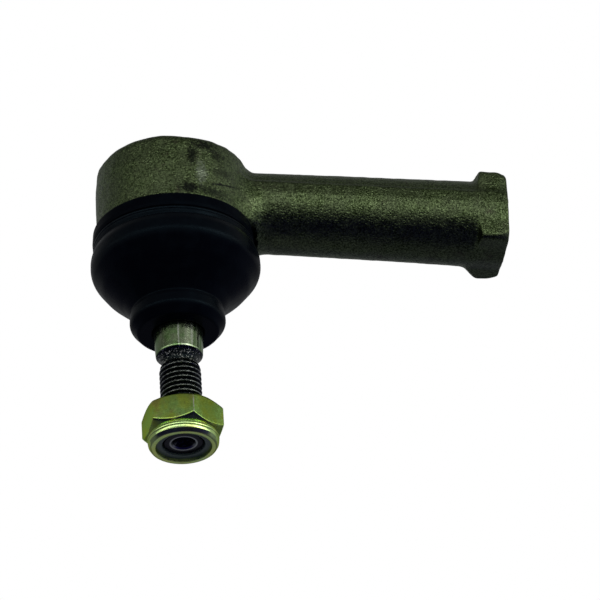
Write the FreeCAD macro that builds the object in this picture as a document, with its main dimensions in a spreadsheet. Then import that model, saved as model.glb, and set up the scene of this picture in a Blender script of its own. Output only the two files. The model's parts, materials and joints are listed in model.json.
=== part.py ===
# Tie rod end: a forged ball housing with a female-threaded shank, a ball stud held
# between two plastic seats under a spring washer and a crimped end cap, a rubber
# dust boot with two clamping rings, and a nylon-insert lock nut on the stud.
#
# Frame: millimetres, +Z up, the stud hangs down along -Z. The origin is the centre
# of the threaded bore's mouth on the shank's end face, and +X points out of it.
# Every piece is drawn about the head's own axis and placed with its Placement. The
# stud hangs free in its ball joint and rests a little off square, and the boot's
# lip, the lower ring, the nut and its insert follow it.
import FreeCAD, Part
import math
import os

import Sketcher

SHEET = "Sizes"

SIZES = {
    # overall
    "centre_distance": 80.5,
    # forged housing: the head
    "head_radius": 18.4,
    "head_top": 10.2,
    "head_base": 8.4,
    "rim_outer_round": 2.2,
    "rim_inner_round": 0.6,
    "neck_radius": 15.6,
    "neck_relief_radius": 20.2,
    "neck_base": 12.5,
    "neck_cut_base": 15.0,
    "lip_radius": 12.8,
    "cap_seat": 6.8,
    "cap_pocket_radius": 14.5,
    "cavity_radius": 13.0,
    "shoulder_top": 8.4,
    "shoulder_base": 11.4,
    "mouth_radius": 9.8,
    # forged housing: the shank and its wrench block
    "shank_start_radius": 9.5,
    "shank_end_radius": 10.35,
    "shank_root_round": 4.0,
    "block_side": 19.6,
    "block_depth": 8.8,
    "block_corner": 1.5,
    "block_cone_length": 2.4,
    "block_face_cone": 2.4,
    "block_face_drop": 1.6,
    "block_reach": 13.4,
    "thread_core_radius": 6.19,
    "thread_depth": 44.0,
    "drill_cone": 3.4,
    # end cap, spring washer and seats
    "cap_thickness": 1.5,
    "cap_boss_radius": 7.0,
    "cap_boss_rise": 0.7,
    "fit_gap": 0.05,
    "spring_outer": 12.0,
    "spring_inner": 6.5,
    "spring_thickness": 0.7,
    "spring_rise": 0.35,
    "seat_top": 5.6,
    "seat_split": 5.2,
    "seat_base": 10.9,
    "seat_lip_radius": 8.5,
    "seat_base_radius": 9.3,
    "seat_cone_radius": 10.2,
    # ball stud
    "ball_radius": 9.5,
    "ball_drop": 5.4,
    "ball_flat": 3.4,
    "stud_lean": 1.4,
    "grease_hole": 3.0,
    "neck_pin_radius": 4.9,
    "neck_pin_end": 15.5,
    "taper_start": 20.5,
    "taper_start_radius": 6.7,
    "taper_end": 41.5,
    "taper_end_radius": 5.63,
    "taper_edge": 0.45,
    "undercut_start": 43.6,
    "undercut_end": 44.4,
    "undercut_radius": 4.25,
    "thread_start": 45.4,
    "stud_thread_radius": 5.0,
    "stud_end": 65.4,
    "stud_end_chamfer": 0.9,
    "centre_drill_radius": 2.4,
    "centre_drill_depth": 3.2,
    # dust boot and its rings
    "boot_top": 8.5,
    "collar_radius": 19.4,
    "collar_base": 10.7,
    "collar_round": 0.6,
    "notch_radius": 18.7,
    "notch_depth": 11.5,
    "bulge_start_radius": 19.2,
    "bulge_start": 12.3,
    "bulge_radius": 20.4,
    "bulge_depth": 17.2,
    "boot_shoulder_arc": 12.0,
    "boot_flank_radius": 13.7,
    "boot_flank_depth": 27.2,
    "boot_flank_arc": 20.0,
    "boot_join": 0.9,
    "boot_waist_radius": 10.8,
    "boot_waist_depth": 29.9,
    "lower_collar_radius": 11.2,
    "lower_collar_top": 30.4,
    "lower_collar_base": 33.2,
    "lower_collar_arc": 3.2,
    "boot_end": 35.4,
    "boot_end_radius": 9.3,
    "boot_wall": 1.7,
    "boot_bore_end_radius": 6.0,
    "boot_bore_top_radius": 6.25,
    "boot_bore_top": 30.6,
    "boot_inner_top": 12.6,
    "boot_inner_top_radius": 17.4,
    "ring_thickness": 1.3,
    "upper_ring_top": 9.3,
    "upper_ring_base": 11.9,
    "lower_ring_top": 31.3,
    "lower_ring_base": 33.5,
    "lower_ring_radius": 6.3,
    # lock nut and its insert
    "nut_flats": 17.0,
    "nut_top": 56.7,
    "nut_hex_base": 63.7,
    "nut_base": 66.7,
    "nut_turn": 38.0,
    "nut_corner_drop": 1.15,
    "nut_chamfer_radius": 8.3,
    "nut_reach": 10.3,
    "nut_collar_radius": 8.4,
    "nut_collar_round": 1.5,
    "nut_lip_radius": 6.5,
    "nut_bore_radius": 5.06,
    "nut_entry": 0.9,
    "insert_top": 63.3,
    "insert_base": 66.1,
    "insert_radius": 6.9,
    "insert_bore": 5.08,
}


class Size:
    """A length that carries both its number and its spreadsheet formula."""

    def __init__(self, number, formula):
        self.number = float(number)
        self.formula = formula

    @staticmethod
    def of(other):
        return other if isinstance(other, Size) else Size(other, repr(float(other)))

    def __add__(self, other):
        other = Size.of(other)
        return Size(self.number + other.number, f"({self.formula} + {other.formula})")

    def __sub__(self, other):
        other = Size.of(other)
        return Size(self.number - other.number, f"({self.formula} - {other.formula})")

    def __mul__(self, other):
        other = Size.of(other)
        return Size(self.number * other.number, f"({self.formula} * {other.formula})")

    def __truediv__(self, other):
        other = Size.of(other)
        return Size(self.number / other.number, f"({self.formula} / {other.formula})")

    def __neg__(self):
        return Size(-self.number, f"(-1 * {self.formula})")

    def root(self):
        return Size(math.sqrt(self.number), f"sqrt({self.formula})")


ZERO = Size(0, "0")


def size(alias):
    """The named cell of the sheet."""
    return Size(SIZES[alias], f"{SHEET}.{alias}")


def down(alias):
    """A height below the shank's axis."""
    return -size(alias)


def make_sheet(doc):
    sheet = doc.addObject("Spreadsheet::Sheet", SHEET)
    for row, (alias, number) in enumerate(SIZES.items(), start=1):
        sheet.set(f"A{row}", alias)
        sheet.set(f"B{row}", str(number))
        sheet.setAlias(f"B{row}", alias)
    doc.recompute()
    return sheet


def make_body(doc, label):
    """A body whose own Z axis is the head's axis."""
    body = doc.addObject("PartDesign::Body", label)
    body.Label = label
    body.setExpression("Placement.Base.x", f"-1 * {SHEET}.centre_distance")
    return body


def make_hung_body(doc, label, turn="0"):
    """A body whose own Z axis is the stud's axis, leaning about the ball's centre."""
    body = doc.addObject("PartDesign::Body", label)
    body.Label = label
    place = f"vector(-1 * {SHEET}.centre_distance; 0; 0)"
    lean = f"rotation(vector(0; -1; 0); {SHEET}.stud_lean)"
    spin = f"rotation(vector(0; 0; 1); {turn})"
    centre = f"vector(0; 0; -1 * {SHEET}.ball_drop)"
    body.setExpression("Placement", f"placement({place}; {lean} * {spin}; {centre})")
    return body


def origin_plane(body, role):
    return next(f for f in body.Origin.OriginFeatures if f.Role == role)


def attach(body, name, role, offset=None, hung=False):
    """A sketch on one of the body's planes. A hung one leans in its plane with the stud."""
    sketch = body.newObject("Sketcher::SketchObject", name)
    sketch.AttachmentSupport = [(origin_plane(body, role), "")]
    sketch.MapMode = "FlatFace"
    if offset is not None:
        sketch.setExpression("AttachmentOffset.Base.z", offset.formula)
    if hung:
        lean = f"rotation(vector(0; 0; 1); {SHEET}.stud_lean)"
        centre = f"vector(0; -1 * {SHEET}.ball_drop; 0)"
        sketch.setExpression("AttachmentOffset", f"placement(vector(0; 0; 0); {lean}; {centre})")
    return sketch


def pin_point(sketch, edge, end, across, up):
    """Ties one end of an edge to its two coordinates in the sheet."""
    for kind, length in (("DistanceX", across), ("DistanceY", up)):
        row = sketch.addConstraint(
            Sketcher.Constraint(kind, -1, 1, edge, end, length.number)
        )
        sketch.setExpression(f"Constraints[{row}]", length.formula)


def arc_between(start, end, radius, side):
    """The shorter arc from start to end, with its centre on the left (1) or right (-1)."""
    chord = end - start
    middle = (start + end) * 0.5
    height = math.sqrt(max(radius**2 - (chord.Length / 2) ** 2, 0.0))
    normal = FreeCAD.Vector(-chord.y, chord.x, 0).normalize() * side
    centre = middle + normal * height
    bulge = centre - normal * radius
    return Part.Arc(start, bulge, end)


def outline(sketch, steps):
    """Draws a closed outline. Each step is (across, up), reached by a straight edge,
    or (across, up, radius, side), reached by an arc."""
    corners = [FreeCAD.Vector(s[0].number, s[1].number, 0) for s in steps]
    edges = []
    for i, step in enumerate(steps):
        start, end = corners[i - 1], corners[i]
        if len(step) == 4:
            arc = arc_between(start, end, step[2].number, step[3])
            edge = sketch.addGeometry(arc, False)
            row = sketch.addConstraint(
                Sketcher.Constraint("Radius", edge, step[2].number)
            )
            sketch.setExpression(f"Constraints[{row}]", step[2].formula)
        else:
            edge = sketch.addGeometry(Part.LineSegment(start, end), False)
        edges.append(edge)
    ends = []
    for i, edge in enumerate(edges):
        first = sketch.getPoint(edge, 1)
        forward = (first - corners[i - 1]).Length < (first - corners[i]).Length
        ends.append((1, 2) if forward else (2, 1))
    for i, edge in enumerate(edges):
        before = i - 1
        sketch.addConstraint(
            Sketcher.Constraint(
                "Coincident", edges[before], ends[before][1], edge, ends[i][0]
            )
        )
    for i, edge in enumerate(edges):
        pin_point(sketch, edge, ends[i][1], steps[i][0], steps[i][1])


def turned(body, name, steps, cut=False, axis="V_Axis", hung=False):
    """A full turn of an outline drawn in the body's XZ plane."""
    sketch = attach(body, f"{name}_outline", "XZ_Plane", hung=hung)
    outline(sketch, steps)
    kind = "PartDesign::Groove" if cut else "PartDesign::Revolution"
    before = body.Shape.Volume if cut else 0.0
    feature = body.newObject(kind, name)
    feature.Profile = (sketch, [""])
    feature.ReferenceAxis = (sketch, [axis])
    feature.Angle = 360.0
    body.Document.recompute()
    if cut and not body.Shape.Volume < before - 1e-3:
        raise RuntimeError(f"{name} cuts nothing from {body.Label}")
    return feature


def head_forging(body):
    """The cup's outside, a short solid drum with a rounded top edge."""
    radius, edge = size("head_radius"), size("rim_outer_round")
    top, base = size("head_top"), down("neck_base")
    turned(body, "head", [
        (ZERO, base),
        (radius, base),
        (radius, top - edge),
        (radius - edge, top, edge, 1),
        (ZERO, top),
    ])


def shank_forging(body):
    """The round shank, a little thicker towards its end."""
    turned(body, "shank", [
        (ZERO, ZERO),
        (size("centre_distance") - size("block_depth"), ZERO),
        (size("centre_distance") - size("block_depth"), size("shank_end_radius")),
        (ZERO, size("shank_start_radius")),
    ], axis="H_Axis")


def wrench_block(body):
    """The square block at the shank's end, its corners turned to cones at both ends."""
    half, corner = size("block_side") / 2, size("block_corner")
    flat = half - corner
    start = size("centre_distance") - size("block_depth")
    sketch = attach(body, "block_outline", "YZ_Plane", start)
    outline(sketch, [
        (flat, -half),
        (half, -flat, corner, 1),
        (half, flat),
        (flat, half, corner, 1),
        (-flat, half),
        (-half, flat, corner, 1),
        (-half, -flat),
        (-flat, -half, corner, 1),
    ])
    pad = body.newObject("PartDesign::Pad", "block")
    pad.Profile = (sketch, [""])
    pad.setExpression("Length", f"{SHEET}.block_depth")
    body.Document.recompute()
    reach = size("block_reach")
    turned(body, "block_back_cone", [
        (start, size("shank_end_radius")),
        (start + size("block_cone_length"), reach),
        (start, reach),
    ], cut=True, axis="H_Axis")
    front = size("centre_distance")
    turned(body, "block_face_cone", [
        (front, reach - size("block_face_drop")),
        (front, reach),
        (front - size("block_face_cone"), reach),
    ], cut=True, axis="H_Axis")


def root_round(body):
    """Blends the shank into the head along the curve where the two forgings meet."""
    forging = body.Tip
    names = []
    for number, edge in enumerate(forging.Shape.Edges, start=1):
        where = edge.BoundBox
        meeting = edge.Curve.TypeId == "Part::GeomBSplineCurve"
        if meeting and where.YLength > SIZES["shank_root_round"] / 2:
            names.append(f"Edge{number}")
    fillet = body.newObject("PartDesign::Fillet", "root_round")
    fillet.Base = (forging, names)
    fillet.setExpression("Radius", f"{SHEET}.shank_root_round")
    body.Document.recompute()


def boot_seat(body):
    """The turned neck under the cup, where the boot's collar sits."""
    turned(body, "boot_seat", [
        (size("neck_radius"), down("neck_cut_base")),
        (size("neck_relief_radius"), down("neck_cut_base")),
        (size("neck_relief_radius"), down("head_base")),
        (size("neck_radius"), down("head_base")),
    ], cut=True)


def head_cavity(body):
    """The stepped bore for cap, spring and seats, closed by the crimped lip on top
    and by the shoulder around the stud's mouth below."""
    cap_top = size("cap_seat") + size("cap_thickness") + size("fit_gap")
    turned(body, "cavity", [
        (ZERO, down("neck_base")),
        (size("mouth_radius"), down("neck_base")),
        (size("mouth_radius"), down("shoulder_base")),
        (size("cavity_radius"), down("shoulder_top")),
        (size("cavity_radius"), size("cap_seat")),
        (size("cap_pocket_radius"), size("cap_seat")),
        (size("cap_pocket_radius"), cap_top),
        (size("lip_radius"), cap_top),
        (size("lip_radius"), size("head_top") - size("rim_inner_round")),
        (size("lip_radius") + size("rim_inner_round"), size("head_top")),
        (ZERO, size("head_top")),
    ], cut=True)


def thread_bore(body):
    """The blind bore of the M14 x 1.5 thread, drawn at its core diameter."""
    end = size("centre_distance")
    core = size("thread_core_radius")
    bottom = end - size("thread_depth")
    turned(body, "thread_bore", [
        (end, ZERO),
        (end, core),
        (bottom, core),
        (bottom - size("drill_cone"), ZERO),
    ], cut=True, axis="H_Axis")


def make_housing(doc):
    body = make_body(doc, "housing")
    head_forging(body)
    shank_forging(body)
    root_round(body)
    wrench_block(body)
    boot_seat(body)
    head_cavity(body)
    thread_bore(body)


def make_end_cap(doc):
    """The pressed steel disc that closes the cup, with a raised middle."""
    body = make_body(doc, "end_cap")
    base = size("cap_seat") + size("fit_gap")
    top = base + size("cap_thickness") - size("fit_gap")
    edge = size("cap_pocket_radius") - size("fit_gap")
    rise, boss = size("cap_boss_rise"), size("cap_boss_radius")
    turned(body, "disc", [
        (ZERO, base + rise),
        (boss - rise, base + rise),
        (boss, base),
        (edge, base),
        (edge, top),
        (boss + rise, top),
        (boss, top + rise),
        (ZERO, top + rise),
    ])


def make_spring(doc):
    """The coned spring washer that takes up wear in the seats."""
    body = make_body(doc, "preload_spring")
    base, rise = size("seat_top") + size("fit_gap"), size("spring_rise")
    thick = size("spring_thickness")
    turned(body, "washer", [
        (size("spring_inner"), base + rise),
        (size("spring_outer"), base),
        (size("spring_outer"), base + thick),
        (size("spring_inner"), base + rise + thick),
    ])


def sphere_reach(radius, height):
    """How far a ball of this radius reaches sideways at a height from its centre."""
    return (radius * radius - height * height).root()


def make_upper_seat(doc):
    """The pressure cup over the ball, open in the middle for grease."""
    body = make_body(doc, "upper_seat")
    hollow = size("ball_radius") + size("fit_gap")
    split = down("seat_split") + size("fit_gap")
    outer = size("cavity_radius") - size("fit_gap")
    hole = size("grease_hole")
    turned(body, "cup", [
        (hole, size("seat_top")),
        (hole, sphere_reach(hollow, hole) - size("ball_drop")),
        (sphere_reach(hollow, split + size("ball_drop")), split, hollow, -1),
        (outer, split),
        (outer, size("seat_top")),
    ])


def make_lower_seat(doc):
    """The bearing ring under the ball, resting on the housing's shoulder."""
    body = make_body(doc, "lower_seat")
    hollow = size("ball_radius") + size("fit_gap")
    outer = size("cavity_radius") - size("fit_gap")
    split = down("seat_split")
    lip = size("seat_lip_radius")
    turned(body, "cup", [
        (sphere_reach(hollow, split + size("ball_drop")), split, hollow, 1),
        (outer, split),
        (outer, down("shoulder_top") + size("fit_gap")),
        (size("seat_cone_radius"), down("seat_base")),
        (size("seat_base_radius"), down("seat_base")),
        (lip, down("ball_drop") - sphere_reach(hollow, lip)),
    ])


def make_ball_stud(doc):
    """Ball, neck, ground taper, undercut and threaded end, turned in one piece."""
    body = make_hung_body(doc, "ball_stud")
    ball, pin = size("ball_radius"), size("neck_pin_radius")
    flat = size("ball_flat")
    edge, chamfer = size("taper_edge"), size("stud_end_chamfer")
    thread, end = size("stud_thread_radius"), down("stud_end")
    turned(body, "stud", [
        (ZERO, flat),
        (sphere_reach(ball, flat + size("ball_drop")), flat),
        (pin, down("ball_drop") - sphere_reach(ball, pin), ball, -1),
        (pin, down("neck_pin_end")),
        (size("taper_start_radius"), down("taper_start")),
        (size("taper_end_radius"), down("taper_end")),
        (size("taper_end_radius") - edge, down("taper_end") - edge),
        (size("undercut_radius"), down("undercut_start")),
        (size("undercut_radius"), down("undercut_end")),
        (thread, down("thread_start")),
        (thread, end + chamfer),
        (thread - chamfer, end),
        (size("centre_drill_radius"), end),
        (ZERO, end + size("centre_drill_depth")),
    ])


def make_dust_boot(doc):
    """The rubber boot: a collar round the housing's neck, a bulge, and a thick lip
    round the stud's taper, each end recessed inside for its ring. The part below the
    bulge leans with the stud."""
    body = make_body(doc, "dust_boot")
    gap, wall = size("fit_gap"), size("boot_wall")
    collar, crown = size("collar_radius"), size("collar_round")
    seat = size("neck_radius") + gap
    ring = seat + size("ring_thickness") + gap
    lower_ring = size("lower_ring_radius") + size("ring_thickness") + gap
    bore_end, bore_top = size("boot_bore_end_radius"), size("boot_bore_top_radius")
    shoulder, flank = size("boot_shoulder_arc"), size("boot_flank_arc")
    bulge, join = size("bulge_radius"), size("boot_join")
    turned(body, "upper_half", [
        (seat, down("boot_top")),
        (seat, down("upper_ring_top") + gap),
        (ring, down("upper_ring_top") + gap),
        (ring, down("upper_ring_base") - gap),
        (seat, down("upper_ring_base") - gap),
        (seat, down("boot_inner_top")),
        (size("boot_inner_top_radius"), down("boot_inner_top") - wall),
        (bulge - wall, down("bulge_depth"), shoulder - wall, -1),
        (bulge, down("bulge_depth")),
        (size("bulge_start_radius"), down("bulge_start"), shoulder, 1),
        (size("notch_radius"), down("notch_depth")),
        (collar, down("collar_base")),
        (collar, down("boot_top") - crown),
        (collar - crown, down("boot_top"), crown, 1),
    ])
    turned(body, "lower_half", [
        (bulge - wall, down("bulge_depth") + join),
        (bulge - wall, down("bulge_depth")),
        (size("boot_flank_radius") - wall, down("boot_flank_depth") + wall / 2,
         flank - wall, -1),
        (bore_top, down("boot_bore_top") + wall / 2),
        (bore_top, down("lower_ring_top") + gap),
        (lower_ring, down("lower_ring_top") + gap),
        (lower_ring, down("lower_ring_base") - gap),
        (bore_top, down("lower_ring_base") - gap),
        (bore_end, down("boot_end")),
        (size("boot_end_radius"), down("boot_end")),
        (size("lower_collar_radius"), down("lower_collar_base"),
         size("lower_collar_arc"), 1),
        (size("lower_collar_radius"), down("lower_collar_top")),
        (size("boot_waist_radius"), down("boot_waist_depth")),
        (size("boot_flank_radius"), down("boot_flank_depth")),
        (bulge, down("bulge_depth"), flank, 1),
        (bulge, down("bulge_depth") + join),
    ], hung=True)


def make_ring(body, inner, top, base):
    """A flat-sided clamping ring inside one end of the boot."""
    outer = inner + size("ring_thickness")
    turned(body, "ring", [
        (inner, base),
        (outer, base),
        (outer, top),
        (inner, top),
    ])


def make_boot_rings(doc):
    upper = size("neck_radius") + size("fit_gap")
    collar_ring = make_body(doc, "boot_ring_upper")
    make_ring(collar_ring, upper, down("upper_ring_top"), down("upper_ring_base"))
    lip_ring = make_hung_body(doc, "boot_ring_lower")
    lower = size("lower_ring_radius")
    make_ring(lip_ring, lower, down("lower_ring_top"), down("lower_ring_base"))


def nut_hexagon(body):
    """The hexagon, with corners on the body's own X axis."""
    corner = size("nut_flats") / math.sqrt(3)
    sketch = attach(body, "hexagon", "XY_Plane", down("nut_hex_base"))
    outline(sketch, [
        (corner * math.cos(math.radians(60 * turn)), corner * math.sin(math.radians(60 * turn)))
        for turn in range(6)
    ])
    pad = body.newObject("PartDesign::Pad", "hex")
    pad.Profile = (sketch, [""])
    pad.setExpression("Length", f"{SHEET}.nut_hex_base - {SHEET}.nut_top")
    body.Document.recompute()


def nut_collar(body):
    """The round collar under the hexagon, curled in over the insert."""
    collar, curl = size("nut_collar_radius"), size("nut_collar_round")
    base = down("nut_base")
    turned(body, "collar", [
        (ZERO, base),
        (collar - curl, base),
        (collar, base + curl, curl, 1),
        (collar, down("nut_hex_base")),
        (ZERO, down("nut_hex_base")),
    ])


def nut_corner_cone(body, name, face, inward):
    """Turns the hexagon's corners down to a cone at one end."""
    chamfer, reach = size("nut_chamfer_radius"), size("nut_reach")
    turned(body, name, [
        (chamfer, face),
        (reach, face),
        (reach, face + size("nut_corner_drop") * inward),
    ], cut=True)


def nut_bore(body):
    """The thread, drawn as a plain hole, and the pocket that holds the insert."""
    bore, entry = size("nut_bore_radius"), size("nut_entry")
    gap = size("fit_gap")
    pocket = size("insert_radius") + gap
    top, base = down("nut_top"), down("nut_base")
    turned(body, "bore", [
        (ZERO, base),
        (size("nut_lip_radius"), base),
        (size("nut_lip_radius"), down("insert_base") - gap),
        (pocket, down("insert_base") - gap),
        (pocket, down("insert_top") + gap),
        (bore, down("insert_top") + gap),
        (bore, top - entry),
        (bore + entry, top),
        (ZERO, top),
    ], cut=True)


def make_lock_nut(doc):
    body = make_hung_body(doc, "lock_nut", turn=f"{SHEET}.nut_turn")
    nut_hexagon(body)
    nut_corner_cone(body, "seat_corners", down("nut_top"), -1)
    nut_corner_cone(body, "collar_corners", down("nut_hex_base"), 1)
    nut_collar(body)
    nut_bore(body)


def make_nylon_insert(doc):
    body = make_hung_body(doc, "nylon_insert")
    turned(body, "ring", [
        (size("insert_bore"), down("insert_base")),
        (size("insert_radius"), down("insert_base")),
        (size("insert_radius"), down("insert_top")),
        (size("insert_bore"), down("insert_top")),
    ])


def check_and_write(doc):
    """Writes each piece, once every object and every solid is sound."""
    failed = [o.Name for o in doc.Objects if {"Invalid", "Error"} & set(o.State)]
    if failed:
        raise RuntimeError(f"failed objects: {failed}")
    bodies = [o for o in doc.Objects if o.TypeId == "PartDesign::Body"]
    for body in bodies:
        shape = body.Shape
        if shape.isNull() or not shape.isValid() or len(shape.Solids) != 1:
            raise RuntimeError(f"{body.Label} is not one sound solid")
    os.makedirs("parts", exist_ok=True)
    for body in bodies:
        body.Shape.exportStep(f"parts/{body.Label}.step")
        print(f"{body.Label}: {body.Shape.Volume:.1f} mm3")


def main():
    doc = FreeCAD.newDocument("tie_rod_end")
    make_sheet(doc)
    make_housing(doc)
    make_end_cap(doc)
    make_spring(doc)
    make_upper_seat(doc)
    make_lower_seat(doc)
    make_ball_stud(doc)
    make_dust_boot(doc)
    make_boot_rings(doc)
    make_lock_nut(doc)
    make_nylon_insert(doc)
    doc.recompute()
    check_and_write(doc)


main()
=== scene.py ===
"""The looks of the tie rod end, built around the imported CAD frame.

Lengths are millimetres until a mesh is made, and heights are measured from the
shank's axis, as in the CAD. Round pieces are turned about the head's upright axis.
"""
import json
import math

import bmesh
import bpy
import numpy as np
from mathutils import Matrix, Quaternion, Vector


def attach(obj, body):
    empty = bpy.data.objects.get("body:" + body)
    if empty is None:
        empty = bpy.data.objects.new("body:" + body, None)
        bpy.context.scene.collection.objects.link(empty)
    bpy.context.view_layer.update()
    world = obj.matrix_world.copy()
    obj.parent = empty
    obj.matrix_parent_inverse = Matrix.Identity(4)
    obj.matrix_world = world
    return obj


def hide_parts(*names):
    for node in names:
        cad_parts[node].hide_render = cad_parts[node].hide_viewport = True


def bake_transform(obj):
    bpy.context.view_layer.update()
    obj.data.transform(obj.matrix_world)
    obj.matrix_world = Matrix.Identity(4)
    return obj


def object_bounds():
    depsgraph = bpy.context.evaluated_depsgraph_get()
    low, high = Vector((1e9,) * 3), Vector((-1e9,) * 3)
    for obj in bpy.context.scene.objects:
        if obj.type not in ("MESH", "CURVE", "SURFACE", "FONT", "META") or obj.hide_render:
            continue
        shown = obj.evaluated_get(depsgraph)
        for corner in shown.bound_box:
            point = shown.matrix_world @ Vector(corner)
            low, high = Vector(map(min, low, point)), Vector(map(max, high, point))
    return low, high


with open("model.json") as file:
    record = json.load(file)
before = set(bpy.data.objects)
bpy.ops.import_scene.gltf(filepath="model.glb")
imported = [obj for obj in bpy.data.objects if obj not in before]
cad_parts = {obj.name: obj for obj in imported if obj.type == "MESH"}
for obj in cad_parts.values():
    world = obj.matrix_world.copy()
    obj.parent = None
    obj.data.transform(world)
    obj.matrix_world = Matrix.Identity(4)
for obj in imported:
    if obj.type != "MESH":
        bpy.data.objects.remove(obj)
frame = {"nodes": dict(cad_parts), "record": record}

MM = 0.001
CAD_BOX = [list(corner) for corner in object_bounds()]
JOINTS = {joint["name"]: joint for joint in frame["record"]["behaviour"]["joints"]}
SPIN = JOINTS["stud_spin"]
HEAD_X = SPIN["pos_m"][0] / MM          # the head's axis, from the shank's end face
BALL_HEIGHT = SPIN["pos_m"][2] / MM
LEAN = math.atan2(SPIN["axis"][0], SPIN["axis"][2])     # the stud rests this far off square
SHANK_LENGTH = -HEAD_X

# ------------------------------------------------------------------ mesh helpers


def mesh_piece(name, points, faces, body, replaced=(), smooth_angle=40.0):
    """A mesh from points in millimetres about the head's axis, riding on a body."""
    points = np.asarray(points, float) + np.array([HEAD_X, 0, 0])
    mesh = bpy.data.meshes.new(name)
    mesh.from_pydata((points * MM).tolist(), [], [list(f) for f in faces])
    mesh.validate()
    mesh.update()
    mesh.polygons.foreach_set("use_smooth", [True] * len(mesh.polygons))
    mesh.set_sharp_from_angle(angle=math.radians(smooth_angle))
    piece = bpy.data.objects.new(name, mesh)
    bpy.context.scene.collection.objects.link(piece)
    if body:
        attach(piece, body)
    if replaced:
        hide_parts(*replaced)
    return piece


def hung(points, share=1.0):
    """Turns points about the ball's centre with the stud's lean, or a share of it."""
    points = np.asarray(points, float)
    turn = LEAN * np.broadcast_to(share, len(points))
    x, drop = points[:, 0], points[:, 2] - BALL_HEIGHT
    return np.stack([
        x * np.cos(turn) + drop * np.sin(turn), points[:, 1],
        BALL_HEIGHT - x * np.sin(turn) + drop * np.cos(turn),
    ], -1)


STRAIGHT = math.radians(179)    # a corner more open than this needs no arc


def rounded(corners, step=0.12, longest=0.6):
    """A closed outline of (radius, height) points from corners (radius, height, round).
    Each corner with a round gets an arc of short steps, and long runs are divided."""
    arcs = []
    count = len(corners)
    for i, corner in enumerate(corners):
        here = np.array(corner[:2], float)
        fillet = corner[2] if len(corner) > 2 else 0.0
        to_last = np.array(corners[i - 1][:2], float) - here
        to_next = np.array(corners[(i + 1) % count][:2], float) - here
        last_length, next_length = np.linalg.norm(to_last), np.linalg.norm(to_next)
        to_last, to_next = to_last / last_length, to_next / next_length
        turn = math.acos(float(np.clip(to_last @ to_next, -1, 1)))
        if fillet <= 0 or turn > STRAIGHT:
            arcs.append([here])
            continue
        room = 0.49 * min(last_length, next_length)
        reach = min(fillet / math.tan(turn / 2), room)
        radius = reach * math.tan(turn / 2)
        middle = to_last + to_next
        centre = here + middle / np.linalg.norm(middle) * radius / math.sin(turn / 2)
        start, end = here + to_last * reach - centre, here + to_next * reach - centre
        sweep = math.atan2(start[0] * end[1] - start[1] * end[0], float(start @ end))
        pieces = max(3, int(abs(sweep) * radius / step) + 1)
        square = np.array([-start[1], start[0]])
        arcs.append([
            centre + start * math.cos(turned) + square * math.sin(turned)
            for turned in (sweep * k / pieces for k in range(pieces + 1))
        ])
    outline = []
    for i, arc in enumerate(arcs):
        outline += arc
        first = arcs[(i + 1) % count][0]
        extra = int(float(np.linalg.norm(first - arc[-1])) / longest)
        for k in range(1, extra + 1):
            share = k / (extra + 1)
            outline.append(arc[-1] * (1 - share) + first * share)
    return np.array(outline)


def spin(rows, segments, shape=None):
    """Points of a turned surface, row by row. shape(radius, height, angle) may change
    the radius and height of each point."""
    angle = np.linspace(0, 2 * math.pi, segments, endpoint=False)
    radius, turn = np.meshgrid(rows[:, 0], angle, indexing="ij")
    height, _ = np.meshgrid(rows[:, 1], angle, indexing="ij")
    if shape is not None:
        radius, height = shape(radius, height, turn)
    return np.stack([radius * np.cos(turn), radius * np.sin(turn), height], -1).reshape(-1, 3)


def grid_faces(rows, segments, closed):
    """Quads between the rows of a turned surface, facing outwards when the rows run
    anticlockwise round the section."""
    faces = []
    for i in range(rows if closed else rows - 1):
        below, above = i * segments, ((i + 1) % rows) * segments
        for j in range(segments):
            k = (j + 1) % segments
            faces.append((below + j, below + k, above + k, above + j))
    return faces


def turned_piece(name, rows, body, segments=192, closed=True, shape=None, lean=0.0, **extra):
    """A piece turned from a closed outline, or from an open one whose ends are on the
    axis and get a small fan."""
    rows = np.asarray(rows, float)
    points = spin(rows, segments, shape)
    faces = grid_faces(len(rows), segments, closed)
    if not closed:
        points = np.vstack([points, [[0, 0, rows[0, 1]], [0, 0, rows[-1, 1]]]])
        start, end, last = len(points) - 2, len(points) - 1, (len(rows) - 1) * segments
        for j in range(segments):
            k = (j + 1) % segments
            faces.append((start, k, j))
            faces.append((end, last + j, last + k))
    return mesh_piece(name, hung(points, lean), faces, body, **extra)


def eased(share):
    """A smooth turn from 0 to 1 of a share that is cut off at both ends."""
    share = np.clip(share, 0, 1)
    return share * share * (3 - 2 * share)


def hashed(cells):
    """A repeatable number from 0 to 1 for each whole-number cell."""
    cells = cells.astype(np.int64)
    mixed = cells[..., 0] * 374761393 + cells[..., 1] * 668265263 + cells[..., 2] * 2147483647
    mixed = (mixed ^ (mixed >> 13)) * 1274126177
    return ((mixed ^ (mixed >> 16)) & 0xFFFF) / 65535.0


def value_noise(points, cell):
    """Smooth noise from -1 to 1 with bumps about one cell across."""
    scaled = points / cell
    base = np.floor(scaled)
    part = eased(scaled - base)
    total = np.zeros(len(points))
    for corner in np.ndindex(2, 2, 2):
        corner = np.array(corner)
        weight = np.prod(np.where(corner, part, 1 - part), axis=1)
        total += weight * hashed(base + corner)
    return total * 2 - 1


# ------------------------------------------------------------------ the forging

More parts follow.
